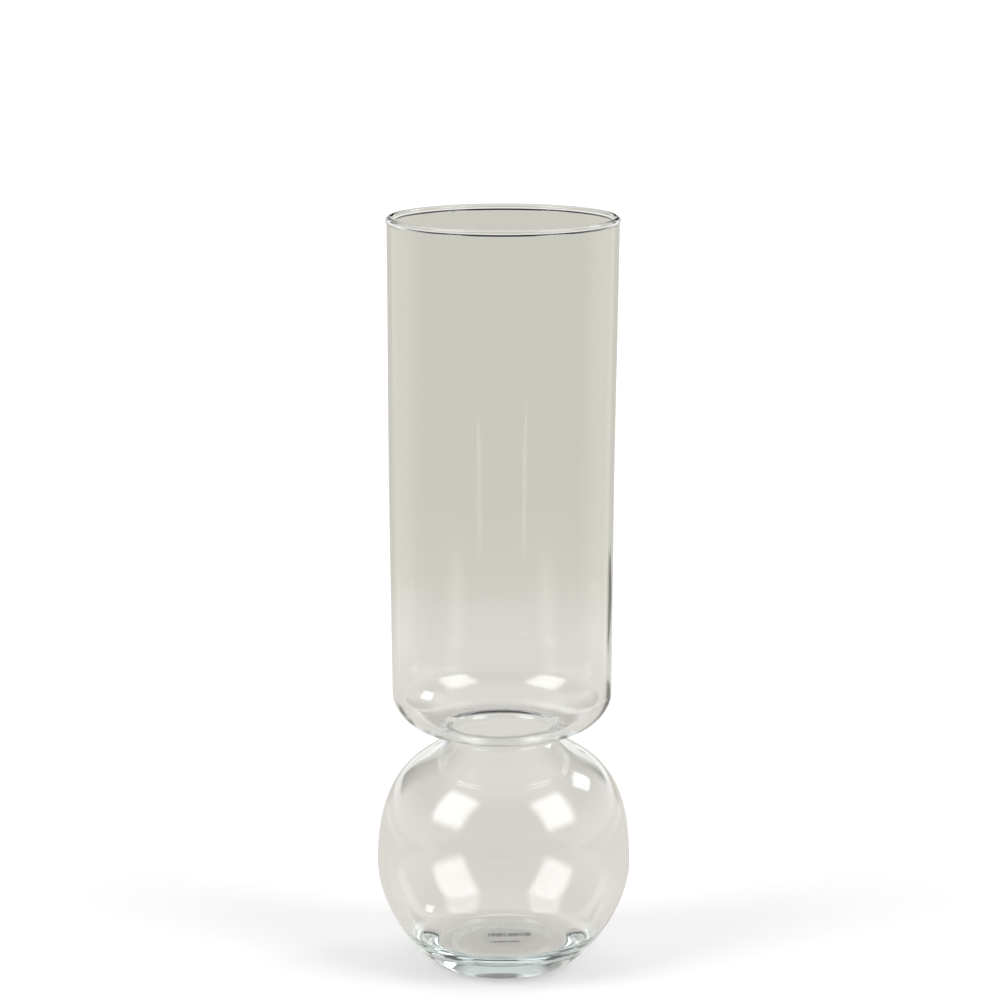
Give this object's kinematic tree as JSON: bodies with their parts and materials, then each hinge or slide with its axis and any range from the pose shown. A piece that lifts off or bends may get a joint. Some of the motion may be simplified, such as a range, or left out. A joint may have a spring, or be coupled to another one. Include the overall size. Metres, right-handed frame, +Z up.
{
  "type": "glass bud vase",
  "caption": "Clear glass bud vase: a tall, slightly flared cylinder stands on a round bulb and opens into it through a narrow waist that grips the stems.",
  "frame": {"origin": "centre of the foot, on the surface that the vase stands on", "axes": "+Z up along the vase's axis, from foot to mouth; the front seen in normal use faces -Y"},
  "size_m": [0.1, 0.1, 0.298],
  "materials": {
    "clear_glass": "clear, fire-polished, faint grey-green at the thick edges",
    "label_film": "thin satin film with plain dark grey print"
  },
  "bodies": {
    "root": {"vase_glass": "clear_glass", "base_label": "label_film"}
  },
  "joints": []
}
